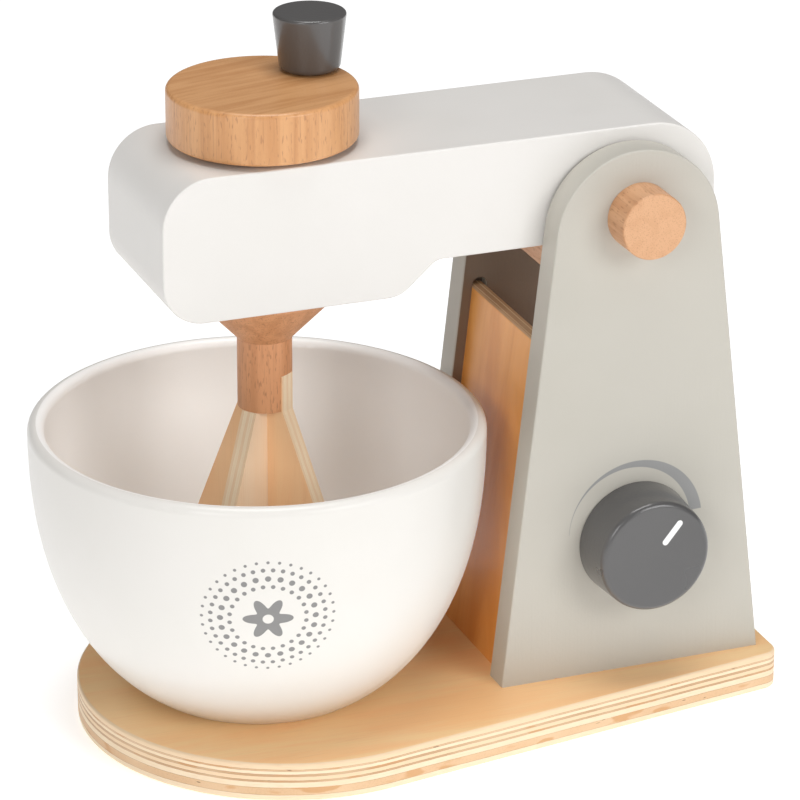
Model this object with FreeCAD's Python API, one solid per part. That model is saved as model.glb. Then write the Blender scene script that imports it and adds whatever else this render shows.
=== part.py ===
import FreeCAD, Part
import math
import os

os.makedirs("parts", exist_ok=True)

# Sizes are in millimetres. X runs from the bowl to the column, +Z is up, and the dial faces -Y.
# The origin is the middle of the base board's underside.

# Base board
BOARD_LENGTH = 223.2
BOARD_THICKNESS = 13.0
BOARD_FRONT_RADIUS = 68.7
BOARD_TAPER = 0.157          # how much each side closes in per millimetre towards the rear
BOARD_CORNER_RADIUS = 6.0
BOARD_EDGE_ROUND = 1.0

# Column: two cheeks with a thin panel let in between them
CHEEK_THICKNESS = 10.4
CHEEK_INSIDE_GAP = 56.8
CHEEK_FRONT_FOOT_X = 15.8
CHEEK_REAR_FOOT_X = 106.3
CHEEK_TOP_RADIUS = 27.8
CHEEK_TOP_X = 60.0
CHEEK_ABOVE_PIVOT = 21.3        # from the pivot's axis to the top of the cheeks
CHEEK_EDGE_ROUND = 0.6
PANEL_THICKNESS = 5.0
PANEL_TOP_HEIGHT = 125.2
PANEL_SETBACK = 3.6          # from the cheeks' front edges to the panel's face, along X
PANEL_HOUSING_DEPTH = 4.0
PANEL_HOUSING_RUN_OUT = 0.2  # how far the housing's round end starts above the panel
PANEL_EDGE_ROUND = 1.0

# Bar that the arm rests on
BAR_SIZE = 12.0
BAR_FRONT_X = 37.2
BAR_HOUSING_DEPTH = 4.0
BAR_EDGE_ROUND = 1.0
ARM_REST_GAP = 0.1

# Pivot of the arm
PIVOT_ABOVE_NECK = 10.55       # from the neck's underside to the pivot's axis
PIVOT_HEAD_RADIUS = 10.8
PIVOT_HEAD_LENGTH = 12.0
PIVOT_SHAFT_RADIUS = 6.0
DOWEL_EDGE_ROUND = 0.8
RUNNING_CLEARANCE = 0.06     # radial, for every turning shaft in its hole

# Arm
ARM_WIDTH = 54.8
ARM_HEAD_UNDERSIDE = 147.7
ARM_HEAD_DEPTH = 46.7
ARM_STEP_HEIGHT = 10.75
ARM_FRONT_X = -92.1
ARM_REAR_X = 91.0
ARM_STEP_FRONT_X = -15.1
ARM_STEP_REAR_X = -3.1
ARM_NOSE_TOP_RADIUS = 16.0
ARM_NOSE_LOW_RADIUS = 13.3
ARM_STEP_LOW_RADIUS = 10.0
ARM_STEP_INNER_RADIUS = 6.0
ARM_TAIL_TOP_RADIUS = 21.5
ARM_TAIL_LOW_RADIUS = 9.0
ARM_EDGE_ROUND = 0.6
SPACER_RADIUS = 12.0
SPACER_THICKNESS = 0.8

# Crank disc and the dowel that drives the whisk
CRANK_X = -50.3
DISC_RADIUS = 29.8
DISC_THICKNESS = 16.7
DISC_GAP = 1.5
DISC_EDGE_ROUND = 1.6
WASHER_RADIUS = 15.0
WASHER_THICKNESS = 1.2
DRIVE_DOWEL_RADIUS = 5.0
DRIVE_DOWEL_DEPTH = 10.0     # into the disc

# Crank knob, which spins on a headed pin let in from under the disc
KNOB_THROW = 21.0
KNOB_ANGLE = 26.0
KNOB_LOW_RADIUS = 9.5
KNOB_TOP_RADIUS = 11.6
KNOB_HEIGHT = 18.3
KNOB_GAP = 0.4
KNOB_LOW_ROUND = 1.8
KNOB_TOP_ROUND = 0.9
PIN_RADIUS = 2.5
PIN_HEAD_RADIUS = 5.0
PIN_HEAD_THICKNESS = 2.0
PIN_DEPTH = 12.0             # into the knob
PIN_END_GAP = 0.5

# Whisk: a cone, a shaft and two crossed plates
HUB_GAP = 0.6
HUB_TOP_RADIUS = 24.0
HUB_LOW_RADIUS = 8.7
HUB_HEIGHT = 17.1
HUB_RIM_HEIGHT = 1.2
SHAFT_RADIUS = 8.7
SHAFT_LENGTH = 23.2
SHAFT_SLOT_DEPTH = 11.8
PLATE_THICKNESS = 5.5
PLATE_FLARE_DROP = 0.3         # from the shaft's end to where the plates widen
PLATE_WIDEST_RADIUS = 26.5
PLATE_BELLY_HEIGHT = 35.0     # from the plates' lowest point to their widest
PLATE_FLOOR_GAP = 8.0
PLATE_ANGLE = 35.0

# Speed dial
DIAL_X = 61.5
DIAL_HEIGHT = 58.8
DIAL_BACK_RADIUS = 19.6
DIAL_FACE_RADIUS = 18.6
DIAL_DEPTH = 16.1
DIAL_GAP = 0.4
DIAL_EDGE_ROUND = 2.0
SPINDLE_RADIUS = 4.0
SPINDLE_DEPTH = 9.0          # into the dial
KEEPER_RADIUS = 9.0
KEEPER_THICKNESS = 4.0
KEEPER_GAP = 0.4

# Bowl, a turned shape whose side follows a rounded-square curve
BOWL_X = -53.0
BOWL_RADIUS = 72.6
BOWL_RIM_HEIGHT = 102.3
BOWL_CURVE_DEPTH = 96.4      # from the rim to where the curve would close
BOWL_CURVE_POWER = 2.31
BOWL_WALL = 5.4
BOWL_FLOOR = 7.0
BOWL_CURVE_STEPS = 7

# Screws that hold the cheeks, driven up through the board
SCREW_RADIUS = 2.0
SCREW_LENGTH = 35.0
SCREW_HEAD_RADIUS = 4.0
SCREW_HEAD_DEPTH = 3.0
SCREW_POINT_LENGTH = 5.0
SCREW_SUNK = 0.5
SCREW_RECESS_WIDTH = 1.1
SCREW_RECESS_LENGTH = 4.4
SCREW_RECESS_DEPTH = 1.6
SCREW_XS = (41.4, 89.4)

# Worked out from the sizes above
BOARD_FRONT_CENTRE_X = -BOARD_LENGTH / 2 + BOARD_FRONT_RADIUS
BOARD_REAR_X = BOARD_LENGTH / 2
CHEEK_INNER_Y = CHEEK_INSIDE_GAP / 2
CHEEK_OUTER_Y = CHEEK_INNER_Y + CHEEK_THICKNESS
CHEEK_MIDDLE_Y = (CHEEK_INNER_Y + CHEEK_OUTER_Y) / 2
ARM_TOP_HEIGHT = ARM_HEAD_UNDERSIDE + ARM_HEAD_DEPTH
ARM_NECK_UNDERSIDE = ARM_HEAD_UNDERSIDE + ARM_STEP_HEIGHT
PIVOT_HEIGHT = ARM_NECK_UNDERSIDE + PIVOT_ABOVE_NECK
CHEEK_TOP_HEIGHT = PIVOT_HEIGHT + CHEEK_ABOVE_PIVOT
CHEEK_TOP_CENTRE_Z = CHEEK_TOP_HEIGHT - CHEEK_TOP_RADIUS
ARM_SIDE_Y = ARM_WIDTH / 2
BAR_TOP_HEIGHT = ARM_NECK_UNDERSIDE - ARM_REST_GAP
DISC_LOW_HEIGHT = ARM_TOP_HEIGHT + DISC_GAP
DISC_TOP_HEIGHT = DISC_LOW_HEIGHT + DISC_THICKNESS
KNOB_X = CRANK_X + KNOB_THROW * math.cos(math.radians(KNOB_ANGLE))
KNOB_Y = KNOB_THROW * math.sin(math.radians(KNOB_ANGLE))
KNOB_LOW_HEIGHT = DISC_TOP_HEIGHT + KNOB_GAP
HUB_TOP_HEIGHT = ARM_HEAD_UNDERSIDE - HUB_GAP
HUB_LOW_HEIGHT = HUB_TOP_HEIGHT - HUB_HEIGHT
SHAFT_LOW_HEIGHT = HUB_LOW_HEIGHT - SHAFT_LENGTH
PLATE_FLARE_HEIGHT = SHAFT_LOW_HEIGHT - PLATE_FLARE_DROP
PLATE_LOW_HEIGHT = BOARD_THICKNESS + BOWL_FLOOR + PLATE_FLOOR_GAP
PLATE_WIDEST_HEIGHT = PLATE_LOW_HEIGHT + PLATE_BELLY_HEIGHT
SLOT_TOP_HEIGHT = SHAFT_LOW_HEIGHT + SHAFT_SLOT_DEPTH
PLATE_LAP_HEIGHT = (SHAFT_LOW_HEIGHT + PLATE_LOW_HEIGHT) / 2
DIAL_BACK_Y = -CHEEK_OUTER_Y - DIAL_GAP
KEEPER_Y = -CHEEK_INNER_Y + KEEPER_GAP

X_AXIS = FreeCAD.Vector(1, 0, 0)
Y_AXIS = FreeCAD.Vector(0, 1, 0)
Z_AXIS = FreeCAD.Vector(0, 0, 1)


def save(name, shape):
    solid = shape
    if shape.ShapeType == "Compound" and len(shape.Solids) == 1:
        solid = shape.Solids[0]
    if len(solid.Solids) != 1 or not solid.isValid():
        raise ValueError(name + " is not one sound solid")
    solid.exportStep("parts/" + name + ".step")


def rod(radius, start, length, axis=Z_AXIS):
    return Part.makeCylinder(radius, length, FreeCAD.Vector(*start), axis)


def side_plate(points, y_low, y_high):
    """A plate whose outline lies in X and Z. Each entry is a start, a middle point or None, and an end."""
    edges = []
    for start, bend, end in points:
        a = FreeCAD.Vector(start[0], y_low, start[1])
        b = FreeCAD.Vector(end[0], y_low, end[1])
        if bend is None:
            edges.append(Part.makeLine(a, b))
        else:
            edges.append(Part.Arc(a, FreeCAD.Vector(bend[0], y_low, bend[1]), b).toShape())
    face = Part.Face(Part.Wire(edges))
    return face.extrude(FreeCAD.Vector(0, y_high - y_low, 0))


def closed_path(corners):
    return [(corners[i - 1], None, corners[i]) for i in range(len(corners))]


def edge_runs_along(edge, axis):
    first = edge.valueAt(edge.FirstParameter)
    last = edge.valueAt(edge.LastParameter)
    run = last - first
    straight = abs(run.Length - edge.Length) < 1e-6
    return straight and run.Length > 0 and abs(abs(run.dot(axis)) - run.Length) < 1e-6


def round_edges(shape, radius, wanted):
    return shape.makeFillet(radius, [edge for edge in shape.Edges if wanted(edge)])


def lies_in(edge, axis, place):
    return all(abs(vertex.Point.dot(axis) - place) < 1e-6 for vertex in edge.Vertexes)


def in_faces(axis, places):
    def wanted(edge):
        middle = edge.valueAt((edge.FirstParameter + edge.LastParameter) / 2)
        return any(lies_in(edge, axis, at) and abs(middle.dot(axis) - at) < 1e-6 for at in places)
    return wanted


def cheek_outline():
    """Straight sides that meet the round top without a corner."""
    ends = []
    for foot_x, side in ((CHEEK_FRONT_FOOT_X, 1), (CHEEK_REAR_FOOT_X, -1)):
        run_x = CHEEK_TOP_X - foot_x
        run_z = CHEEK_TOP_CENTRE_Z - BOARD_THICKNESS
        reach = math.hypot(run_x, run_z)
        lean = math.atan2(run_z, run_x) + side * math.asin(CHEEK_TOP_RADIUS / reach)
        length = math.sqrt(reach ** 2 - CHEEK_TOP_RADIUS ** 2)
        top = (foot_x + length * math.cos(lean), BOARD_THICKNESS + length * math.sin(lean))
        ends.append(((foot_x, BOARD_THICKNESS), top))
    (front_foot, front_top), (rear_foot, rear_top) = ends
    crown = (CHEEK_TOP_X, CHEEK_TOP_HEIGHT)
    return [(front_foot, None, front_top), (front_top, crown, rear_top),
            (rear_top, None, rear_foot), (rear_foot, None, front_foot)]


def cheek_front_lean():
    (foot_x, foot_z), bend, (top_x, top_z) = cheek_outline()[0]
    return (top_x - foot_x) / (top_z - foot_z)


def panel_front_x(height):
    return CHEEK_FRONT_FOOT_X + PANEL_SETBACK + (height - BOARD_THICKNESS) * cheek_front_lean()


def panel_outline():
    thick_x = PANEL_THICKNESS * math.hypot(1, cheek_front_lean())
    low_x = panel_front_x(BOARD_THICKNESS)
    top_x = panel_front_x(PANEL_TOP_HEIGHT)
    return [(low_x, BOARD_THICKNESS), (top_x, PANEL_TOP_HEIGHT),
            (top_x + thick_x, PANEL_TOP_HEIGHT), (low_x + thick_x, BOARD_THICKNESS)]


def panel_housing(y_low, y_high):
    """The groove that takes the panel, with the round end that a cutter leaves."""
    thick_x = PANEL_THICKNESS * math.hypot(1, cheek_front_lean())
    end_z = PANEL_TOP_HEIGHT + PANEL_HOUSING_RUN_OUT
    low_x = panel_front_x(BOARD_THICKNESS)
    end_x = panel_front_x(end_z)
    corners = [(low_x, BOARD_THICKNESS), (end_x, end_z),
               (end_x + thick_x, end_z), (low_x + thick_x, BOARD_THICKNESS)]
    groove = side_plate(closed_path(corners), y_low, y_high)
    centre = (end_x + thick_x / 2, y_low, end_z)
    return groove.fuse(rod(thick_x / 2, centre, y_high - y_low, Y_AXIS)).removeSplitter()


def stop_bar_solid(reach):
    low = FreeCAD.Vector(BAR_FRONT_X, -reach, BAR_TOP_HEIGHT - BAR_SIZE)
    bar = Part.makeBox(BAR_SIZE, 2 * reach, BAR_SIZE, low)
    return round_edges(bar, BAR_EDGE_ROUND, lambda edge: edge_runs_along(edge, Y_AXIS))


def screw_solid(x, y):
    """A countersunk wood screw with a crossed recess, its head just under the board's lower face."""
    foot = FreeCAD.Vector(x, y, SCREW_SUNK)
    head = Part.makeCone(SCREW_HEAD_RADIUS, SCREW_RADIUS, SCREW_HEAD_DEPTH, foot)
    shank_length = SCREW_LENGTH - SCREW_POINT_LENGTH
    shank = rod(SCREW_RADIUS, (x, y, SCREW_SUNK), shank_length)
    point_place = FreeCAD.Vector(x, y, SCREW_SUNK + shank_length)
    point = Part.makeCone(SCREW_RADIUS, 0.0, SCREW_POINT_LENGTH, point_place)
    screw = head.fuse([shank, point]).removeSplitter()
    for long_x, long_y in ((SCREW_RECESS_LENGTH, SCREW_RECESS_WIDTH), (SCREW_RECESS_WIDTH, SCREW_RECESS_LENGTH)):
        corner = FreeCAD.Vector(x - long_x / 2, y - long_y / 2, 0)
        screw = screw.cut(Part.makeBox(long_x, long_y, SCREW_SUNK + SCREW_RECESS_DEPTH, corner))
    return screw


def screw_hole(x, y):
    foot = FreeCAD.Vector(x, y, SCREW_SUNK)
    head = Part.makeCone(SCREW_HEAD_RADIUS, SCREW_RADIUS, SCREW_HEAD_DEPTH, foot)
    mouth = rod(SCREW_HEAD_RADIUS, (x, y, 0), SCREW_SUNK)
    return head.fuse([mouth, rod(SCREW_RADIUS, (x, y, 0), BOARD_THICKNESS)])


def screw_places():
    return [(x, side * CHEEK_MIDDLE_Y) for side in (-1, 1) for x in SCREW_XS]


def base_board():
    lean = math.atan(BOARD_TAPER)
    touch_x = BOARD_FRONT_CENTRE_X + BOARD_FRONT_RADIUS * math.sin(lean)
    touch_y = BOARD_FRONT_RADIUS * math.cos(lean)
    rear_y = touch_y - BOARD_TAPER * (BOARD_REAR_X - touch_x)
    near_touch = FreeCAD.Vector(touch_x, -touch_y, 0)
    far_touch = FreeCAD.Vector(touch_x, touch_y, 0)
    near_rear = FreeCAD.Vector(BOARD_REAR_X, -rear_y, 0)
    far_rear = FreeCAD.Vector(BOARD_REAR_X, rear_y, 0)
    nose = FreeCAD.Vector(-BOARD_LENGTH / 2, 0, 0)
    outline = Part.Wire([Part.Arc(far_touch, nose, near_touch).toShape(), Part.makeLine(near_touch, near_rear),
                         Part.makeLine(near_rear, far_rear), Part.makeLine(far_rear, far_touch)])
    board = Part.Face(outline).extrude(FreeCAD.Vector(0, 0, BOARD_THICKNESS))

    def rear_corner(edge):
        return edge_runs_along(edge, Z_AXIS) and edge.Vertexes[0].X > BOARD_REAR_X - 1

    board = round_edges(board, BOARD_CORNER_RADIUS, rear_corner)
    board = round_edges(board, BOARD_EDGE_ROUND, in_faces(Z_AXIS, (0, BOARD_THICKNESS)))
    return board.cut([screw_hole(x, y) for x, y in screw_places()])


def cheek(side):
    """One side of the column. Side is -1 for the one that carries the dial and 1 for the plain one."""
    y_low, y_high = sorted((side * CHEEK_INNER_Y, side * CHEEK_OUTER_Y))
    body = side_plate(cheek_outline(), y_low, y_high)
    faces = in_faces(Y_AXIS, (y_low, y_high))

    def above_board(edge):
        return faces(edge) and not lies_in(edge, Z_AXIS, BOARD_THICKNESS)

    body = round_edges(body, CHEEK_EDGE_ROUND, above_board)
    groove_low, groove_high = sorted((side * CHEEK_INNER_Y, side * (CHEEK_INNER_Y + PANEL_HOUSING_DEPTH)))
    cutters = [panel_housing(groove_low, groove_high)]
    cutters.append(stop_bar_solid(CHEEK_INNER_Y + BAR_HOUSING_DEPTH))
    cutters.append(rod(PIVOT_SHAFT_RADIUS, (CHEEK_TOP_X, y_low, PIVOT_HEIGHT), CHEEK_THICKNESS, Y_AXIS))
    cutters.extend(screw_solid(x, side * CHEEK_MIDDLE_Y) for x in SCREW_XS)
    if side < 0:
        cutters.append(rod(SPINDLE_RADIUS + RUNNING_CLEARANCE, (DIAL_X, y_low, DIAL_HEIGHT), CHEEK_THICKNESS, Y_AXIS))
    return body.cut(cutters)


def front_panel():
    reach = CHEEK_INNER_Y + PANEL_HOUSING_DEPTH
    panel = side_plate(closed_path(panel_outline()), -reach, reach)

    def top_edge(edge):
        return edge_runs_along(edge, Y_AXIS) and lies_in(edge, Z_AXIS, PANEL_TOP_HEIGHT)

    return round_edges(panel, PANEL_EDGE_ROUND, top_edge)


def pivot_dowel():
    """The turned pin that the arm tilts on: a wide head outside the dial's cheek and a thinner shaft."""
    head_y = -CHEEK_OUTER_Y - PIVOT_HEAD_LENGTH
    head = rod(PIVOT_HEAD_RADIUS, (CHEEK_TOP_X, head_y, PIVOT_HEIGHT), PIVOT_HEAD_LENGTH, Y_AXIS)
    head = round_edges(head, DOWEL_EDGE_ROUND, in_faces(Y_AXIS, (head_y,)))
    shaft = rod(PIVOT_SHAFT_RADIUS, (CHEEK_TOP_X, -CHEEK_OUTER_Y, PIVOT_HEIGHT), 2 * CHEEK_OUTER_Y, Y_AXIS)
    return head.fuse(shaft).removeSplitter()


def arm_beam():
    """The arm: a deep head over the bowl, a step, and a shallower neck that rests on the bar."""
    corners = [((ARM_FRONT_X, ARM_HEAD_UNDERSIDE), ARM_NOSE_LOW_RADIUS),
               ((ARM_FRONT_X, ARM_TOP_HEIGHT), ARM_NOSE_TOP_RADIUS),
               ((ARM_REAR_X, ARM_TOP_HEIGHT), ARM_TAIL_TOP_RADIUS),
               ((ARM_REAR_X, ARM_NECK_UNDERSIDE), ARM_TAIL_LOW_RADIUS),
               ((ARM_STEP_REAR_X, ARM_NECK_UNDERSIDE), ARM_STEP_INNER_RADIUS),
               ((ARM_STEP_FRONT_X, ARM_HEAD_UNDERSIDE), ARM_STEP_LOW_RADIUS)]
    body = side_plate(closed_path([place for place, radius in corners]), -ARM_SIDE_Y, ARM_SIDE_Y)
    for (x, z), radius in corners:
        spot = FreeCAD.Vector(x, 0, z)

        def at_corner(edge):
            middle = edge.valueAt((edge.FirstParameter + edge.LastParameter) / 2)
            return edge_runs_along(edge, Y_AXIS) and (middle - spot).Length < 1e-3

        body = round_edges(body, radius, at_corner)
    body = round_edges(body, ARM_EDGE_ROUND, in_faces(Y_AXIS, (-ARM_SIDE_Y, ARM_SIDE_Y)))
    pivot_bore = rod(PIVOT_SHAFT_RADIUS + RUNNING_CLEARANCE, (CHEEK_TOP_X, -ARM_SIDE_Y, PIVOT_HEIGHT),
                     ARM_WIDTH, Y_AXIS)
    drive_bore = rod(DRIVE_DOWEL_RADIUS + RUNNING_CLEARANCE, (CRANK_X, 0, ARM_HEAD_UNDERSIDE),
                     ARM_TOP_HEIGHT - ARM_HEAD_UNDERSIDE)
    return body.cut([pivot_bore, drive_bore])


def arm_spacer(side):
    """A ring on the pivot dowel that keeps the arm off a cheek."""
    place = (CHEEK_TOP_X, side * ARM_SIDE_Y - (1 - side) / 2 * SPACER_THICKNESS, PIVOT_HEIGHT)
    ring = rod(SPACER_RADIUS, place, SPACER_THICKNESS, Y_AXIS)
    return ring.cut(rod(PIVOT_SHAFT_RADIUS + RUNNING_CLEARANCE, place, SPACER_THICKNESS, Y_AXIS))


def crank_washer():
    place = (CRANK_X, 0, ARM_TOP_HEIGHT)
    ring = rod(WASHER_RADIUS, place, WASHER_THICKNESS)
    return ring.cut(rod(DRIVE_DOWEL_RADIUS + RUNNING_CLEARANCE, place, WASHER_THICKNESS))


def drive_dowel():
    top = DISC_LOW_HEIGHT + DRIVE_DOWEL_DEPTH
    return rod(DRIVE_DOWEL_RADIUS, (CRANK_X, 0, SLOT_TOP_HEIGHT), top - SLOT_TOP_HEIGHT)


def crank_pin():
    """The headed pin under the disc that the knob spins on."""
    head = rod(PIN_HEAD_RADIUS, (KNOB_X, KNOB_Y, DISC_LOW_HEIGHT), PIN_HEAD_THICKNESS)
    shank = rod(PIN_RADIUS, (KNOB_X, KNOB_Y, DISC_LOW_HEIGHT), DISC_THICKNESS + KNOB_GAP + PIN_DEPTH)
    return head.fuse(shank).removeSplitter()


def crank_disc():
    disc = rod(DISC_RADIUS, (CRANK_X, 0, DISC_LOW_HEIGHT), DISC_THICKNESS)
    disc = round_edges(disc, DISC_EDGE_ROUND, in_faces(Z_AXIS, (DISC_LOW_HEIGHT, DISC_TOP_HEIGHT)))
    return disc.cut([drive_dowel(), crank_pin()])


def crank_knob():
    place = FreeCAD.Vector(KNOB_X, KNOB_Y, KNOB_LOW_HEIGHT)
    knob = Part.makeCone(KNOB_LOW_RADIUS, KNOB_TOP_RADIUS, KNOB_HEIGHT, place)
    knob = round_edges(knob, KNOB_LOW_ROUND, in_faces(Z_AXIS, (KNOB_LOW_HEIGHT,)))
    knob = round_edges(knob, KNOB_TOP_ROUND, in_faces(Z_AXIS, (KNOB_LOW_HEIGHT + KNOB_HEIGHT,)))
    return knob.cut(rod(PIN_RADIUS + RUNNING_CLEARANCE, place, PIN_DEPTH + PIN_END_GAP))


def whisk_hub():
    """The cone under the arm, with a short upright rim at its top."""
    place = FreeCAD.Vector(CRANK_X, 0, HUB_LOW_HEIGHT)
    cone_height = HUB_TOP_HEIGHT - HUB_LOW_HEIGHT - HUB_RIM_HEIGHT
    cone = Part.makeCone(HUB_LOW_RADIUS, HUB_TOP_RADIUS, cone_height, place)
    rim = rod(HUB_TOP_RADIUS, (CRANK_X, 0, HUB_LOW_HEIGHT + cone_height), HUB_RIM_HEIGHT)
    return cone.fuse(rim).removeSplitter().cut(drive_dowel())


def whisk_plate(angle, top_height, lap_from, lap_to):
    """A flat plate that widens downwards, with half of the crossing cut away."""
    outline = []
    for side in (1, -1):
        outline.append([(side * SHAFT_RADIUS, top_height), (side * SHAFT_RADIUS, PLATE_FLARE_HEIGHT),
                        (side * PLATE_WIDEST_RADIUS, PLATE_WIDEST_HEIGHT)])
    right, left = outline
    path = [(right[0], None, right[1]), (right[1], None, right[2]),
            (right[2], (0, PLATE_LOW_HEIGHT), left[2]),
            (left[2], None, left[1]), (left[1], None, left[0]), (left[0], None, right[0])]
    plate = side_plate(path, -PLATE_THICKNESS / 2, PLATE_THICKNESS / 2)
    corner = FreeCAD.Vector(-PLATE_THICKNESS / 2, -PLATE_THICKNESS / 2, lap_from)
    plate = plate.cut(Part.makeBox(PLATE_THICKNESS, PLATE_THICKNESS, lap_to - lap_from, corner))
    plate.rotate(FreeCAD.Vector(0, 0, 0), Z_AXIS, angle)
    plate.translate(FreeCAD.Vector(CRANK_X, 0, 0))
    return plate


def whisk_shaft():
    """The shaft, slotted for the plate let into it. The other plate meets its end."""
    shaft = rod(SHAFT_RADIUS, (CRANK_X, 0, SHAFT_LOW_HEIGHT), HUB_LOW_HEIGHT - SHAFT_LOW_HEIGHT)
    corner = FreeCAD.Vector(-SHAFT_RADIUS, -PLATE_THICKNESS / 2, SHAFT_LOW_HEIGHT)
    slot = Part.makeBox(2 * SHAFT_RADIUS, PLATE_THICKNESS, SHAFT_SLOT_DEPTH, corner)
    slot.rotate(FreeCAD.Vector(0, 0, 0), Z_AXIS, PLATE_ANGLE + 90)
    slot.translate(FreeCAD.Vector(CRANK_X, 0, 0))
    return shaft.cut([drive_dowel(), slot])


def dial_spindle():
    start = DIAL_BACK_Y - SPINDLE_DEPTH
    return rod(SPINDLE_RADIUS, (DIAL_X, start, DIAL_HEIGHT), KEEPER_Y + KEEPER_THICKNESS - start, Y_AXIS)


def speed_dial():
    back = FreeCAD.Vector(DIAL_X, DIAL_BACK_Y, DIAL_HEIGHT)
    dial = Part.makeCone(DIAL_BACK_RADIUS, DIAL_FACE_RADIUS, DIAL_DEPTH, back, -Y_AXIS)
    dial = round_edges(dial, DIAL_EDGE_ROUND, in_faces(Y_AXIS, (DIAL_BACK_Y - DIAL_DEPTH,)))
    return dial.cut(dial_spindle())


def dial_keeper():
    """The collar glued on the spindle inside the column, so that the dial stays on."""
    collar = rod(KEEPER_RADIUS, (DIAL_X, KEEPER_Y, DIAL_HEIGHT), KEEPER_THICKNESS, Y_AXIS)
    return collar.cut(dial_spindle())


def bowl_curve(radius, depth, lowest):
    """Points down the bowl's side, from just under the rim to the lowest height."""
    points = []
    start = BOWL_RIM_HEIGHT - BOWL_WALL / 2
    for step in range(BOWL_CURVE_STEPS):
        share = math.sin(math.pi / 2 * step / (BOWL_CURVE_STEPS - 1))
        z = start + (lowest - start) * share
        drop = (start - z) / depth
        reach = radius * (1 - drop ** BOWL_CURVE_POWER) ** (1 / BOWL_CURVE_POWER)
        points.append(FreeCAD.Vector(reach, 0, z))
    return points


def smooth_edge(points):
    curve = Part.BSplineCurve()
    curve.interpolate(points)
    return curve.toShape()


def bowl():
    start = BOWL_RIM_HEIGHT - BOWL_WALL / 2
    outer = bowl_curve(BOWL_RADIUS, BOWL_CURVE_DEPTH, BOARD_THICKNESS)
    floor_height = BOARD_THICKNESS + BOWL_FLOOR
    inner = bowl_curve(BOWL_RADIUS - BOWL_WALL, BOWL_CURVE_DEPTH - BOWL_WALL, floor_height)
    rim_top = FreeCAD.Vector(BOWL_RADIUS - BOWL_WALL / 2, 0, BOWL_RIM_HEIGHT)
    foot = FreeCAD.Vector(0, 0, BOARD_THICKNESS)
    floor = FreeCAD.Vector(0, 0, floor_height)
    profile = Part.Wire([smooth_edge(outer), Part.makeLine(outer[-1], foot), Part.makeLine(foot, floor),
                         Part.makeLine(floor, inner[-1]), smooth_edge(inner),
                         Part.Arc(inner[0], rim_top, outer[0]).toShape()])
    turned = Part.Face(profile).revolve(FreeCAD.Vector(0, 0, 0), Z_AXIS, 360)
    turned.translate(FreeCAD.Vector(BOWL_X, 0, 0))
    return turned


save("base_board", base_board())
save("dial_side_cheek", cheek(-1))
save("plain_side_cheek", cheek(1))
save("front_panel", front_panel())
save("stop_bar", stop_bar_solid(CHEEK_INNER_Y + BAR_HOUSING_DEPTH))
save("pivot_dowel", pivot_dowel())
for number, (x, y) in enumerate(screw_places(), 1):
    save("cheek_screw_" + str(number), screw_solid(x, y))

save("arm_beam", arm_beam())
for number, side in enumerate((-1, 1), 1):
    save("arm_spacer_" + str(number), arm_spacer(side))
save("crank_washer", crank_washer())

save("crank_disc", crank_disc())
save("drive_dowel", drive_dowel())
save("crank_pin", crank_pin())
save("whisk_hub", whisk_hub())
save("whisk_shaft", whisk_shaft())
save("whisk_plate_1", whisk_plate(PLATE_ANGLE, SHAFT_LOW_HEIGHT, PLATE_LAP_HEIGHT, SHAFT_LOW_HEIGHT))
save("whisk_plate_2", whisk_plate(PLATE_ANGLE + 90, SLOT_TOP_HEIGHT, PLATE_LOW_HEIGHT, PLATE_LAP_HEIGHT))
save("crank_knob", crank_knob())

save("speed_dial", speed_dial())
save("dial_spindle", dial_spindle())
save("dial_keeper", dial_keeper())

save("bowl", bowl())
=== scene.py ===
import math
import bpy
from mathutils import Matrix, Vector


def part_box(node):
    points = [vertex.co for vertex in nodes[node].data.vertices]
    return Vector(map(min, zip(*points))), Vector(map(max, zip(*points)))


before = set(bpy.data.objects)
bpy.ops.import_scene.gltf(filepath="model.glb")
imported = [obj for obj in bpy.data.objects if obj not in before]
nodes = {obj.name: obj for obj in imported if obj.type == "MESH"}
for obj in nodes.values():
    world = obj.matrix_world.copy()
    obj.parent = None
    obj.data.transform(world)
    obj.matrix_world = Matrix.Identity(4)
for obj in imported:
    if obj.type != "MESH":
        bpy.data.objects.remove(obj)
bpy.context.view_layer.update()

MM = 0.001

# Camera, as the photograph was taken
CAMERA_PLACE = (-465.7 * MM, -1186.7 * MM, 628.7 * MM)
CAMERA_AZIMUTH = math.radians(-21.234)
CAMERA_ELEVATION = math.radians(22.507)
CAMERA_ROLL = math.radians(0.213)
CAMERA_LENS = 193.9
SENSOR = 36.0
FARTHEST_SEEN = 20

# Studio
FLOOR_HALF_WIDTH = 6.0
FLOOR_GLOW = 0.5
# The floor lies just under the board, so that their faces don't share one plane
FLOOR_GAP = 0.0002
WORLD_STRENGTH = 0.14
LIGHT_TARGET = (0, 0, 0.1)
# Each light's name, place and size in metres, and power in watts
LIGHTS = (
    ("key", (0.9, -1.9, 1.0), (1.2, 1.0), 20),
    ("near_left", (-1.5, -1.5, 1.0), (0.9, 0.9), 12),
    ("top", (0, 0, 2.1), (1.1, 1.1), 23),
)

X_WAY = (1, 0, 0)
Y_WAY = (0, 1, 0)
Z_WAY = (0, 0, 1)
NEAR_WAY = (0, -1, 0)


def paint(red, green, blue):
    """A colour given as it looks on a screen, 0 to 255, turned into the linear values that shaders take."""
    def linear(value):
        share = value / 255
        return share / 12.92 if share <= 0.04045 else ((share + 0.055) / 1.055) ** 2.4
    return (linear(red), linear(green), linear(blue), 1.0)


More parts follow.
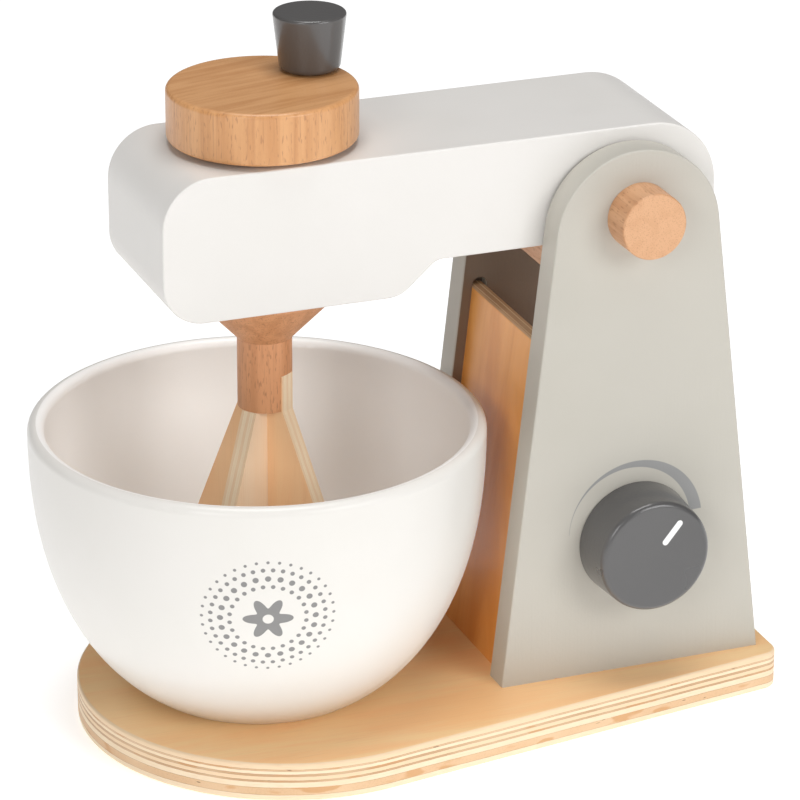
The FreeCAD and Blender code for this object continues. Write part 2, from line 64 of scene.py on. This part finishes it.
# Bare wood
BEECH_LIGHT = paint(222, 172, 130)
BEECH_DARK = paint(204, 150, 108)
BEECH_FLECK = paint(166, 112, 74)
DISC_LIGHT = paint(224, 168, 114)
DISC_DARK = paint(206, 147, 93)
WHISK_LIGHT = paint(224, 162, 116)
WHISK_DARK = paint(206, 144, 98)
WHISK_FLECK = paint(150, 98, 62)
BARE_WOOD = paint(206, 152, 108)

# The saw marks on the disc's top run nearly along the arm
DISC_TOP_RUN = (0.97, 0.24, 0)
DISC_LACQUER = 0.35

# Plies and the glue joints between them
PALE = paint(252, 231, 200)
CREAM = paint(246, 218, 182)
TAN = paint(230, 192, 150)
BROWN = paint(206, 165, 124)
BRIGHT_JOINT = paint(255, 240, 214)
DARK_JOINT = paint(186, 145, 106)
END_GRAIN_PATCH = paint(212, 156, 100)
PLY_VOID = paint(134, 94, 62)

# Each ply's thickness in millimetres and its tone, from one face of the sheet to the other
BOARD_PLIES = ((2.1, PALE), (2.3, TAN), (1.8, PALE), (0.5, BROWN), (1.2, CREAM), (0.6, BROWN), (1.0, PALE),
               (0.4, TAN), (2.0, CREAM))
PLATE_PLIES = ((1.1, CREAM), (1.0, PALE), (1.3, CREAM), (1.0, PALE), (1.1, CREAM))
PANEL_PLIES = ((1.3, BROWN), (0.5, CREAM), (1.2, BROWN), (0.5, CREAM), (1.5, BROWN))
JOINT = 0.14

# The panel leans back by this much for each metre of height
PANEL_SLOPE = 0.1021

# Each whisk plate, the way it lies seen from above in degrees, and its veneer's light and dark tones
PLATES = (
    ("whisk_plate_1", 35, paint(255, 230, 200), paint(252, 220, 184)),
    ("whisk_plate_2", 125, paint(255, 214, 168), paint(252, 202, 152)),
)

# Paint and print
ARM_PAINT = paint(232, 229, 225)
ARM_SHADE = paint(228, 225, 220)
CHEEK_PAINT = paint(195, 191, 181)
CHEEK_SHADE = paint(190, 186, 175)
# Painted shade: the plain cheek's inner face is darker and browner, for the shadow between the cheeks
CHEEK_INSIDE_PAINTED_SHADE = paint(134, 116, 100)
ARC_GREY = paint(150, 150, 149)
POINTER_WHITE = paint(244, 244, 242)
BOWL_PAINT = paint(233, 230, 225)
BOWL_SHADE = paint(229, 226, 220)
# Painted light: the bowl's lining is whiter than its outside, for the light that fills the bowl
LINING_PAINTED_LIGHT = paint(255, 253, 250)
PRINT_GREY = paint(136, 135, 134)
STEEL_DARK = paint(190, 188, 180)
STEEL_LIGHT = paint(214, 212, 206)

# Each dark glossy node, its paint and its shade
DARK_NODES = (
    ("crank_knob", paint(86, 84, 83), paint(80, 78, 78)),
    ("speed_dial", paint(87, 86, 86), paint(80, 79, 79)),
)

# The crescent above the dial: one circle, less another that lies to its left, down to a sloping end line
ARC_RISE = 3.6 * MM
ARC_OUTER_RADIUS = 23.2 * MM
ARC_INNER_RADIUS = 21.1 * MM
ARC_INNER_SHIFT = 2.0 * MM
ARC_END_SLOPE = -0.055
ARC_END_LOW = 1.9 * MM
ARC_END_HIGH = 2.1 * MM

# Small chips in the paint where the cheek meets the board
CHIP_WAVES = 260
CHIP_REACH = 2.6 * MM
CHIP_START = 1.45 * MM
CHIP_FULL = 1.6 * MM

# The pointer on the dial, from the dial's middle, right and up
POINTER_START = Vector((3.1, 4.8)) * MM
POINTER_END = Vector((7.8, 10.6)) * MM
POINTER_HALF_WIDTH = 1.05 * MM

# The print on the bowl: a flower inside rings of dots
PRINT_PLACE = (-73.2 * MM, -66.4 * MM, 64.8 * MM)
PRINT_FACING = Vector((-0.2855, -0.9361, -0.2055))
PRINT_DEPTH = 25 * MM
PRINT_FADE = 5 * MM
PETALS = 6.0
FLOWER_RADIUS = 5.9 * MM
PETAL_SWING = 1.9 * MM
EYE_RADIUS = 1.7 * MM
# Each ring's radius in millimetres, number of dots, dot radius in millimetres, and turn in dots
RINGS = ((11.8, 24, 0.7, 0.0), (14.6, 24, 0.95, 0.5), (17.6, 36, 0.7, 0.0), (20.2, 36, 0.5, 0.5))
# Width over which the painted light on the bowl's lining gives way to its outside at the rim
LINING_LIGHT_FADE = 4 * MM

board_low, board_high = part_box("base_board")
dial_low, dial_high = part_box("speed_dial")
dial_middle = ((dial_low[0] + dial_high[0]) / 2, 0, (dial_low[2] + dial_high[2]) / 2)
bowl_low, bowl_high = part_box("bowl")
bowl_mouth = ((bowl_low[0] + bowl_high[0]) / 2, 0, bowl_high[2])


class Shader:
    """One material's node tree, with short calls for the nodes that are used here."""

    def __init__(self, name, roughness, specular=0.5):
        self.material = bpy.data.materials.new(name)
        self.material.use_nodes = True
        self.tree = self.material.node_tree
        self.surface = self.tree.nodes["Principled BSDF"]
        self.surface.inputs["Roughness"].default_value = roughness
        self.surface.inputs["Specular IOR Level"].default_value = specular
        where = self.tree.nodes.new("ShaderNodeTexCoord")
        self.place = where.outputs["Object"]
        self.facing = where.outputs["Normal"]

    def feed(self, socket, value):
        if isinstance(value, bpy.types.NodeSocket):
            self.tree.links.new(value, socket)
        else:
            socket.default_value = value

    def maths(self, operation, first, second=0.0, third=0.0):
        node = self.tree.nodes.new("ShaderNodeMath")
        node.operation = operation
        for socket, value in zip(node.inputs, (first, second, third)):
            self.feed(socket, value)
        return node.outputs[0]

    def vectors(self, operation, first, second):
        node = self.tree.nodes.new("ShaderNodeVectorMath")
        node.operation = operation
        self.feed(node.inputs[0], first)
        self.feed(node.inputs[1], second)
        return node.outputs["Value" if operation == "DOT_PRODUCT" else "Vector"]

    def scaled(self, value, amount):
        return self.maths("MULTIPLY", value, amount)

    def scaled_vector(self, vector, amount):
        node = self.tree.nodes.new("ShaderNodeVectorMath")
        node.operation = "SCALE"
        self.feed(node.inputs[0], vector)
        self.feed(node.inputs["Scale"], amount)
        return node.outputs["Vector"]

    def noise(self, place, scale, detail=2.0, roughness=0.5, distortion=0.0):
        node = self.tree.nodes.new("ShaderNodeTexNoise")
        self.feed(node.inputs["Vector"], place)
        node.inputs["Scale"].default_value = scale
        node.inputs["Detail"].default_value = detail
        node.inputs["Roughness"].default_value = roughness
        node.inputs["Distortion"].default_value = distortion
        return node.outputs["Fac"]

    def grain_noise(self, way, across, lengthwise, detail, roughness=0.5, distortion=0.0):
        """Noise drawn out along a direction. Both amounts are in waves per metre."""
        return self.noise(self.stretched(way, across, lengthwise), 1.0, detail, roughness, distortion)

    def between(self, value, low, high):
        """0 below low, 1 above high, and smooth in between."""
        node = self.tree.nodes.new("ShaderNodeMapRange")
        node.interpolation_type = "SMOOTHSTEP"
        self.feed(node.inputs["Value"], value)
        node.inputs["From Min"].default_value = low
        node.inputs["From Max"].default_value = high
        return node.outputs["Result"]

    def blend(self, share, first, second):
        """The first colour where share is 0, and the second where it is 1."""
        node = self.tree.nodes.new("ShaderNodeMix")
        node.data_type = "RGBA"
        self.feed(node.inputs["Factor"], share)
        self.feed(node.inputs[6], first)
        self.feed(node.inputs[7], second)
        return node.outputs[2]

    def bands(self, value, stops):
        """Flat bands of colour. Each stop is where its band starts, and its colour."""
        node = self.tree.nodes.new("ShaderNodeValToRGB")
        band = node.color_ramp
        band.interpolation = "CONSTANT"
        while len(band.elements) < len(stops):
            band.elements.new(0.5)
        for element, (position, colour) in zip(band.elements, stops):
            element.position = position
            element.color = colour
        self.feed(node.inputs["Fac"], value)
        return node.outputs["Color"]

    def along(self, way):
        """How far a point lies along a direction, in metres."""
        return self.vectors("DOT_PRODUCT", self.place, way)

    def stretched(self, way, across, lengthwise):
        """The place, scaled by one amount along a direction and by another across it."""
        extra = self.scaled(self.along(way), lengthwise - across)
        return self.vectors("ADD", self.scaled_vector(self.place, across), self.scaled_vector(way, extra))

    def faces_along(self, way, low, high):
        """1 on the faces that look either way along a direction."""
        look = self.vectors("DOT_PRODUCT", self.facing, way)
        return self.between(self.maths("ABSOLUTE", look), low, high)

    def faces_toward(self, way, low, high):
        """1 on the faces that look one way along a direction."""
        return self.between(self.vectors("DOT_PRODUCT", self.facing, way), low, high)

    def flat_place(self, centre, right, up):
        """Where a point lies from a centre, along two directions, in metres."""
        start_u = Vector(centre).dot(Vector(right))
        start_v = Vector(centre).dot(Vector(up))
        u = self.maths("SUBTRACT", self.along(right), start_u)
        v = self.maths("SUBTRACT", self.along(up), start_v)
        return u, v

    def distance(self, u, v):
        squares = self.maths("ADD", self.maths("MULTIPLY", u, u), self.maths("MULTIPLY", v, v))
        return self.maths("SQRT", squares)

    def inside(self, distance, limit, soft=0.12 * MM):
        """1 where a distance is under its limit."""
        return self.between(self.maths("SUBTRACT", limit, distance), -soft, soft)

    def both(self, first, second):
        return self.maths("MULTIPLY", first, second)

    def outside_of(self, mask):
        return self.maths("SUBTRACT", 1.0, mask)

    def colour(self, value):
        self.feed(self.surface.inputs["Base Color"], value)

    def roughness(self, value):
        self.feed(self.surface.inputs["Roughness"], value)

    def coat(self, weight, roughness):
        self.surface.inputs["Coat Weight"].default_value = weight
        self.surface.inputs["Coat Roughness"].default_value = roughness

    def bump(self, height, depth):
        """Raises the surface by depth metres where height is 1."""
        node = self.tree.nodes.new("ShaderNodeBump")
        node.inputs["Distance"].default_value = depth
        self.feed(node.inputs["Height"], height)
        self.feed(self.surface.inputs["Normal"], node.outputs["Normal"])

    def dress(self, *names):
        for name in names:
            nodes[name].data.materials.clear()
            nodes[name].data.materials.append(self.material)


def beech(name, grain, light, dark, fleck, flecks_show=0.5, top_run=None, lacquer=0.0):
    """Beech with soft growth bands and short dark flecks along the grain.

    The ends show fine pores, or streaks along top_run where that is given."""
    shader = Shader(name, 0.42)
    shader.coat(lacquer, 0.24)
    growth = shader.grain_noise(grain, 210, 9, 3.0, 0.6, 0.5)
    streaks = shader.grain_noise(grain, 1500, 45, 2.0, 0.6)
    flecks = shader.grain_noise(grain, 1700, 330, 1.0, 0.4)
    pores = shader.grain_noise(grain, 3600, 500, 2.0, 0.6)
    cloud = shader.noise(shader.place, 28)
    tone = shader.blend(shader.between(growth, 0.36, 0.66), light, dark)
    tone = shader.blend(shader.scaled(shader.between(cloud, 0.35, 0.75), 0.3), tone, dark)
    tone = shader.blend(shader.scaled(shader.between(streaks, 0.52, 0.8), 0.45), tone, fleck)
    tone = shader.blend(shader.scaled(shader.between(flecks, 0.6, 0.72), flecks_show), tone, fleck)
    tone = shader.blend(shader.scaled(shader.between(pores, 0.58, 0.78), 0.2), tone, fleck)
    speckle = shader.between(shader.noise(shader.place, 2300, 1.0), 0.5, 0.74)
    if top_run:
        sawn = shader.grain_noise(top_run, 420, 26, 3.0, 0.6, 0.3)
        end_tone = shader.blend(shader.between(sawn, 0.38, 0.66), light, dark)
        end_tone = shader.blend(shader.scaled(speckle, 0.12), end_tone, fleck)
    else:
        rings = shader.noise(shader.place, 190, 2.0, 0.5, 0.5)
        end_tone = shader.blend(shader.scaled(shader.between(rings, 0.4, 0.62), 0.3), light, dark)
        end_tone = shader.blend(shader.scaled(speckle, 0.4), end_tone, fleck)
    ends = shader.faces_along(grain, 0.75, 0.9)
    shader.colour(shader.blend(shader.scaled(ends, 0.9), tone, end_tone))
    shader.roughness(shader.maths("MULTIPLY_ADD", flecks, 0.2, 0.34))
    shader.bump(shader.maths("MULTIPLY_ADD", flecks, 0.6, pores), 0.00006)
    return shader


def ply_stops(plies, joint_tone):
    """Stops for the plies' tones, with a thin joint between each two, and for which plies show end grain."""
    whole = sum(thickness for thickness, tone in plies) + JOINT * (len(plies) - 1)
    tones, ends, reached = [], [], 0.0
    for number, (thickness, tone) in enumerate(plies):
        across = tone in (TAN, BROWN)
        tones.append((reached / whole, tone))
        ends.append((reached / whole, (across, across, across, 1)))
        reached += thickness
        if number < len(plies) - 1:
            tones.append((reached / whole, joint_tone))
            reached += JOINT
    return tones, ends


def ply_edge(shader, across, low, high, plies, joint_tone, patches):
    """The tone of the plies on an edge, and the fibres that run through them."""
    height = shader.maths("DIVIDE", shader.maths("SUBTRACT", shader.along(across), low), high - low)
    waver = shader.maths("SUBTRACT", shader.noise(shader.place, 26), 0.5)
    ripple = shader.maths("SUBTRACT", shader.noise(shader.place, 420), 0.5)
    level = shader.maths("MULTIPLY_ADD", waver, 0.4 / len(plies), height)
    level = shader.maths("MULTIPLY_ADD", ripple, 0.12 / len(plies), level)
    tones, ends = ply_stops(plies, joint_tone)
    tone = shader.bands(level, tones)
    end_grain = shader.bands(level, ends)
    fibres = shader.grain_noise(across, 240, 4200, 3.0, 0.6)
    tone = shader.blend(shader.scaled(shader.between(fibres, 0.4, 0.75), 0.35), tone, TAN)
    speckle = shader.between(shader.noise(shader.place, 1700, 2.0, 0.6), 0.45, 0.75)
    tone = shader.blend(shader.both(end_grain, shader.scaled(speckle, 0.3)), tone, BROWN)
    cloudy = shader.between(shader.noise(shader.place, 48), 0.4, 0.68)
    tone = shader.blend(shader.scaled(cloudy, 0.3), tone, CREAM)
    if patches:
        spots = shader.both(shader.between(shader.grain_noise(across, 85, 260, 1.5), 0.56, 0.64), end_grain)
        tone = shader.blend(shader.scaled(spots, patches), tone, END_GRAIN_PATCH)
        voids = shader.between(shader.grain_noise(across, 190, 900, 1.0), 0.73, 0.77)
        tone = shader.blend(shader.both(shader.scaled(voids, 0.8), end_grain), tone, PLY_VOID)
    return tone, fibres


def plywood(name, across, low, high, plies, joint_tone, grain, veneer, veneer_dark, patches=0.0):
    """Birch plywood. Its plies lie across one direction, from low to high, and show on the edges."""
    shader = Shader(name, 0.4)
    tone, fibres = ply_edge(shader, across, low, high, plies, joint_tone, patches)
    swirl = shader.grain_noise(grain, 70, 8, 4.0, 0.6, 0.8)
    streaks = shader.grain_noise(grain, 2100, 60, 3.0, 0.6)
    face = shader.blend(shader.between(swirl, 0.36, 0.68), veneer, veneer_dark)
    face = shader.blend(shader.scaled(shader.between(streaks, 0.5, 0.8), 0.16), face, BROWN)
    flat = shader.faces_along(across, 0.86, 0.99)
    shader.colour(shader.blend(flat, tone, face))
    shader.roughness(shader.maths("MULTIPLY_ADD", flat, -0.14, 0.5))
    shader.bump(shader.blend(flat, fibres, streaks), 0.00004)
    return shader


def painted(name, colour, shade, roughness, grain=None, grit=0.00003):
    """Sprayed paint on wood, faintly cloudy, with a fine orange peel and the grain just showing.

    The tone comes back with the shader, so that prints can be laid over it."""
    shader = Shader(name, roughness)
    cloud = shader.between(shader.noise(shader.place, 22, 3.0), 0.35, 0.7)
    tone = shader.blend(shader.scaled(cloud, 0.6), colour, shade)
    relief = shader.noise(shader.place, 900)
    if grain:
        lines = shader.grain_noise(grain, 1300, 40, 2.0)
        relief = shader.maths("MULTIPLY_ADD", lines, 0.8, relief)
    smears = shader.noise(shader.place, 60, 3.0)
    shader.roughness(shader.maths("MULTIPLY_ADD", smears, 0.14, roughness - 0.07))
    shader.bump(relief, grit)
    return shader, tone


def reach_along(name, way):
    """The least and greatest reach of a node along a direction."""
    runs = [vertex.co.dot(way) for vertex in nodes[name].data.vertices]
    return min(runs), max(runs)


def dress_beech():
    disc = beech("beech_disc", Z_WAY, DISC_LIGHT, DISC_DARK, BEECH_FLECK, 0.5, DISC_TOP_RUN, DISC_LACQUER)
    disc.dress("crank_disc")
    upright = beech("beech_upright", Z_WAY, WHISK_LIGHT, WHISK_DARK, WHISK_FLECK, 0.45)
    upright.dress("whisk_hub", "whisk_shaft", "drive_dowel", "crank_washer")
    crosswise = beech("beech_crosswise", Y_WAY, BEECH_LIGHT, BEECH_DARK, BEECH_FLECK)
    crosswise.dress("pivot_dowel", "stop_bar", "arm_spacer_1", "arm_spacer_2", "dial_spindle", "dial_keeper")


def dress_board():
    board = plywood("ply_board", Z_WAY, board_low[2], board_high[2], BOARD_PLIES, DARK_JOINT, X_WAY,
                    paint(255, 216, 162), paint(255, 203, 146), 0.7)
    board.dress("base_board")


def dress_panel():
    lean = math.atan(PANEL_SLOPE)
    across = Vector((math.cos(lean), 0, -math.sin(lean)))
    low, high = reach_along("front_panel", across)
    panel = plywood("ply_panel", tuple(across), low, high, PANEL_PLIES, DARK_JOINT, Z_WAY,
                    paint(255, 182, 98), paint(242, 162, 78))
    panel.dress("front_panel")


def dress_plates():
    for name, angle, veneer, veneer_dark in PLATES:
        turn = math.radians(angle + 90)
        across = Vector((math.cos(turn), math.sin(turn), 0))
        low, high = reach_along(name, across)
        plate = plywood("ply_" + name, tuple(across), low, high, PLATE_PLIES, BRIGHT_JOINT, Z_WAY,
                        veneer, veneer_dark)
        plate.dress(name)


def dress_arm():
    arm, tone = painted("paint_arm", ARM_PAINT, ARM_SHADE, 0.42, X_WAY)
    arm.colour(tone)
    arm.dress("arm_beam")


def dress_plain_cheek():
    """The cheek without the dial. The face that it turns to the near cheek is darker and browner: painted
    shade, for the shadow between the cheeks.
    """
    cheek, tone = painted("paint_cheek", CHEEK_PAINT, CHEEK_SHADE, 0.5, Z_WAY)
    # Painted shade on the face that looks toward the near cheek
    painted_shade_face = cheek.faces_toward(NEAR_WAY, 0.8, 0.95)
    cheek.colour(cheek.blend(painted_shade_face, tone, CHEEK_INSIDE_PAINTED_SHADE))
    cheek.dress("plain_side_cheek")


def dial_arc(shader):
    """1 on a crescent above the dial, thickest at its right."""
    u, v = shader.flat_place(dial_middle, X_WAY, Z_WAY)
    v = shader.maths("SUBTRACT", v, ARC_RISE)
    whole = shader.inside(shader.distance(u, v), ARC_OUTER_RADIUS)
    hollow = shader.inside(shader.distance(shader.maths("ADD", u, ARC_INNER_SHIFT), v), ARC_INNER_RADIUS)
    above = shader.between(shader.maths("MULTIPLY_ADD", u, ARC_END_SLOPE, v), ARC_END_LOW, ARC_END_HIGH)
    return shader.both(shader.both(whole, shader.outside_of(hollow)), above)


def foot_chips(shader):
    """1 where paint is missing along the board's top."""
    height = shader.maths("SUBTRACT", shader.along(Z_WAY), board_high[2])
    wander = shader.scaled(shader.noise(shader.place, CHIP_WAVES, 3.0, 0.7), CHIP_REACH)
    return shader.between(shader.maths("SUBTRACT", wander, height), CHIP_START, CHIP_FULL)


def dress_dial_cheek():
    """The cheek with the dial: a crescent is printed above the dial, and bare wood shows along its foot."""
    cheek, tone = painted("paint_printed_cheek", CHEEK_PAINT, CHEEK_SHADE, 0.5, Z_WAY)
    outer = cheek.faces_toward(NEAR_WAY, 0.8, 0.9)
    tone = cheek.blend(cheek.both(dial_arc(cheek), outer), tone, ARC_GREY)
    tone = cheek.blend(cheek.scaled(foot_chips(cheek), 0.85), tone, BARE_WOOD)
    cheek.colour(tone)
    cheek.dress("dial_side_cheek")


def pointer_line(shader):
    """1 on the dial's pointer, a line with round ends."""
    line = POINTER_END - POINTER_START
    way = line.normalized()
    u, v = shader.flat_place(dial_middle, X_WAY, Z_WAY)
    u = shader.maths("SUBTRACT", u, POINTER_START.x)
    v = shader.maths("SUBTRACT", v, POINTER_START.y)
    run = shader.maths("ADD", shader.scaled(u, way.x), shader.scaled(v, way.y))
    side = shader.maths("SUBTRACT", shader.scaled(u, way.y), shader.scaled(v, way.x))
    past = shader.maths("MAXIMUM", shader.maths("SUBTRACT", run, line.length), 0.0)
    short = shader.maths("MINIMUM", run, 0.0)
    return shader.inside(shader.distance(side, shader.maths("ADD", past, short)), POINTER_HALF_WIDTH)


def dress_knob_and_dial():
    for name, colour, shade in DARK_NODES:
        dark, tone = painted("paint_" + name, colour, shade, 0.3, None, 0.00004)
        if name == "speed_dial":
            outer = dark.faces_toward(NEAR_WAY, 0.8, 0.9)
            tone = dark.blend(dark.both(pointer_line(dark), outer), tone, POINTER_WHITE)
        dark.colour(tone)
        dark.coat(0.5, 0.15)
        dark.dress(name)


def ring_of_dots(shader, angle, distance, radius, count, dot_radius, start):
    """1 on evenly spaced round dots on a circle."""
    turn = shader.maths("MULTIPLY_ADD", angle, count / math.tau, start)
    off = shader.maths("SUBTRACT", shader.maths("FRACT", turn), 0.5)
    aside = shader.scaled(off, math.tau / count * radius)
    return shader.inside(shader.distance(aside, shader.maths("SUBTRACT", distance, radius)), dot_radius)


def bowl_print(shader):
    """1 on a flower inside rings of dots, on the side of the bowl that PRINT_FACING looks away from."""
    right = Vector((-PRINT_FACING.y, PRINT_FACING.x, 0)).normalized()
    up = PRINT_FACING.cross(right)
    u, v = shader.flat_place(PRINT_PLACE, tuple(right), tuple(up))
    distance = shader.distance(u, v)
    angle = shader.maths("ARCTAN2", v, u)
    petals = shader.maths("COSINE", shader.scaled(angle, PETALS))
    flower = shader.inside(distance, shader.maths("MULTIPLY_ADD", petals, PETAL_SWING, FLOWER_RADIUS))
    eye = shader.inside(distance, EYE_RADIUS)
    motif = shader.both(flower, shader.outside_of(eye))
    for radius, count, dot_radius, start in RINGS:
        dots = ring_of_dots(shader, angle, distance, radius * MM, count, dot_radius * MM, start)
        motif = shader.maths("MAXIMUM", motif, dots)
    facing = tuple(PRINT_FACING)
    depth = shader.maths("SUBTRACT", shader.along(facing), Vector(PRINT_PLACE).dot(PRINT_FACING))
    motif = shader.both(motif, shader.between(depth, -PRINT_DEPTH - PRINT_FADE, -PRINT_DEPTH))
    return shader.both(motif, shader.faces_toward(facing, 0.5, 0.55))


def dress_bowl():
    """The bowl, with a lining that is whiter than its outside: painted light, for the light that fills the
    bowl.
    """
    bowl, tone = painted("paint_bowl", BOWL_PAINT, BOWL_SHADE, 0.34)
    inward = bowl.vectors("DOT_PRODUCT", bowl.facing, bowl.vectors("SUBTRACT", bowl_mouth, bowl.place))
    # Painted light: the lining is whiter than the outside
    tone = bowl.blend(bowl.between(inward, 0.0, LINING_LIGHT_FADE), tone, LINING_PAINTED_LIGHT)
    bowl.colour(bowl.blend(bowl_print(bowl), tone, PRINT_GREY))
    bowl.dress("bowl")


def dress_steel():
    steel = Shader("screw_steel", 0.35)
    steel.surface.inputs["Metallic"].default_value = 1.0
    steel.colour(steel.blend(steel.noise(steel.place, 900), STEEL_DARK, STEEL_LIGHT))
    steel.bump(steel.noise(steel.place, 2500), 0.00003)
    steel.dress("crank_pin", *[name for name in nodes if name.startswith("cheek_screw")])


def shade_smoothly():
    for node in nodes.values():
        for polygon in node.data.polygons:
            polygon.use_smooth = True


def add_light(name, place, size, power):
    light = bpy.data.lights.new(name, "AREA")
    light.shape = "RECTANGLE"
    light.size, light.size_y = size
    light.energy = power
    lamp = bpy.data.objects.new(name, light)
    lamp.location = place
    lamp.rotation_euler = (Vector(LIGHT_TARGET) - Vector(place)).to_track_quat("-Z", "Y").to_euler()
    bpy.context.scene.collection.objects.link(lamp)


def add_floor():
    mesh = bpy.data.meshes.new("floor")
    half = FLOOR_HALF_WIDTH
    corners = [(x * half, y * half, -FLOOR_GAP) for x, y in ((-1, -1), (1, -1), (1, 1), (-1, 1))]
    mesh.from_pydata(corners, [], [(0, 1, 2, 3)])
    floor = bpy.data.objects.new("floor", mesh)
    bpy.context.scene.collection.objects.link(floor)
    shader = Shader("floor", 0.9, 0.0)
    shader.colour(shader.blend(shader.noise(shader.place, 3), (0.88, 0.88, 0.88, 1), (0.9, 0.9, 0.9, 1)))
    shader.surface.inputs["Emission Color"].default_value = (1, 1, 1, 1)
    shader.surface.inputs["Emission Strength"].default_value = FLOOR_GLOW
    mesh.materials.append(shader.material)


def add_world():
    """A faint even light. The camera sees it as plain white."""
    world = bpy.data.worlds.new("studio")
    world.use_nodes = True
    tree = world.node_tree
    background = tree.nodes["Background"]
    background.inputs["Strength"].default_value = WORLD_STRENGTH
    background.inputs["Color"].default_value = (1, 1, 1, 1)
    plain = tree.nodes.new("ShaderNodeBackground")
    path = tree.nodes.new("ShaderNodeLightPath")
    choice = tree.nodes.new("ShaderNodeMixShader")
    tree.links.new(path.outputs["Is Camera Ray"], choice.inputs[0])
    tree.links.new(background.outputs[0], choice.inputs[1])
    tree.links.new(plain.outputs[0], choice.inputs[2])
    plain.inputs["Color"].default_value = (1, 1, 1, 1)
    tree.links.new(choice.outputs[0], tree.nodes["World Output"].inputs["Surface"])
    bpy.context.scene.world = world


def add_camera():
    data = bpy.data.cameras.new("camera")
    data.sensor_width = SENSOR
    data.lens = CAMERA_LENS
    data.clip_end = FARTHEST_SEEN
    camera = bpy.data.objects.new("camera", data)
    turn = Matrix.Rotation(CAMERA_AZIMUTH, 4, "Z") @ Matrix.Rotation(math.pi / 2 - CAMERA_ELEVATION, 4, "X")
    camera.matrix_world = Matrix.Translation(CAMERA_PLACE) @ turn @ Matrix.Rotation(CAMERA_ROLL, 4, "Z")
    bpy.context.scene.collection.objects.link(camera)
    bpy.context.scene.camera = camera


dress_beech()
dress_board()
dress_panel()
dress_plates()
dress_arm()
dress_plain_cheek()
dress_dial_cheek()
dress_knob_and_dial()
dress_bowl()
dress_steel()
shade_smoothly()

add_floor()
add_world()
for light in LIGHTS:
    add_light(*light)
add_camera()
bpy.context.scene.view_settings.view_transform = "Standard"
